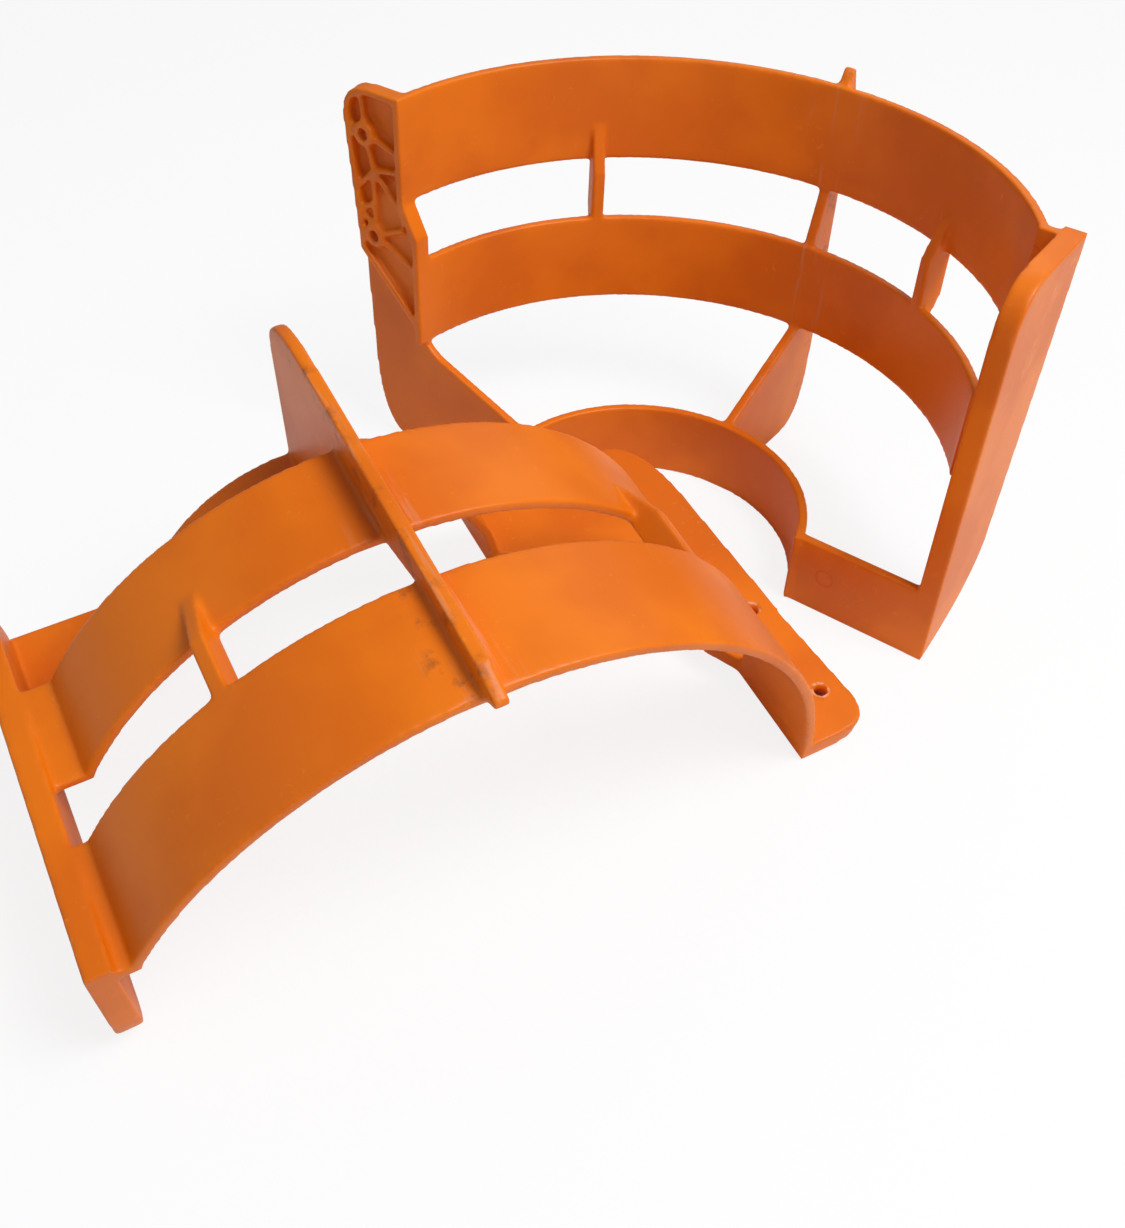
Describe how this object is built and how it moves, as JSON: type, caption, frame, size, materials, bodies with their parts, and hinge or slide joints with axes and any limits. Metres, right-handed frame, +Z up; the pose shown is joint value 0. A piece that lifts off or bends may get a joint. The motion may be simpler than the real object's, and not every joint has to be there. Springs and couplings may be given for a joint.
{
  "type": "outboard propeller guard",
  "caption": "Two-part moulded cage that bolts around a boat propeller: banded half rings with a fin, ribs, a drilled bolting pad and a flat top flange, shown taken apart.",
  "frame": {"origin": "centre of the bottom of the overall box: the floor that both halves stand on", "axes": "+Z up; +X from the bolting pad of the upright half to its top flange; +Y from the laid half towards the upright half"},
  "size_m": [0.367, 0.5618, 0.223],
  "materials": {
    "moulding": "satin orange moulded plastic, lightly mottled and scuffed"
  },
  "bodies": {
    "upright_half": {"upright_wide_band": "moulding", "upright_middle_band": "moulding", "upright_small_band": "moulding", "upright_side_fin": "moulding", "upright_low_rib": "moulding", "upright_high_rib": "moulding", "upright_bolting_pad": "moulding", "upright_pad_step": "moulding", "upright_pad_web": "moulding", "upright_top_flange": "moulding", "upright_wide_end_web": "moulding", "upright_middle_end_web": "moulding", "upright_small_end_wall": "moulding"},
    "laid_half": {"laid_wide_band": "moulding", "laid_middle_band": "moulding", "laid_small_band": "moulding", "laid_side_fin": "moulding", "laid_low_rib": "moulding", "laid_high_rib": "moulding", "laid_bolting_pad": "moulding", "laid_pad_step": "moulding", "laid_pad_web": "moulding", "laid_top_flange": "moulding", "laid_wide_end_web": "moulding", "laid_middle_end_web": "moulding", "laid_small_end_wall": "moulding"}
  },
  "joints": [
    {"name": "laid_half_lift", "type": "slide", "parent": "upright_half", "child": "laid_half", "axis": [0, 0, 1], "range_m": [0, 0.3]}
  ]
}
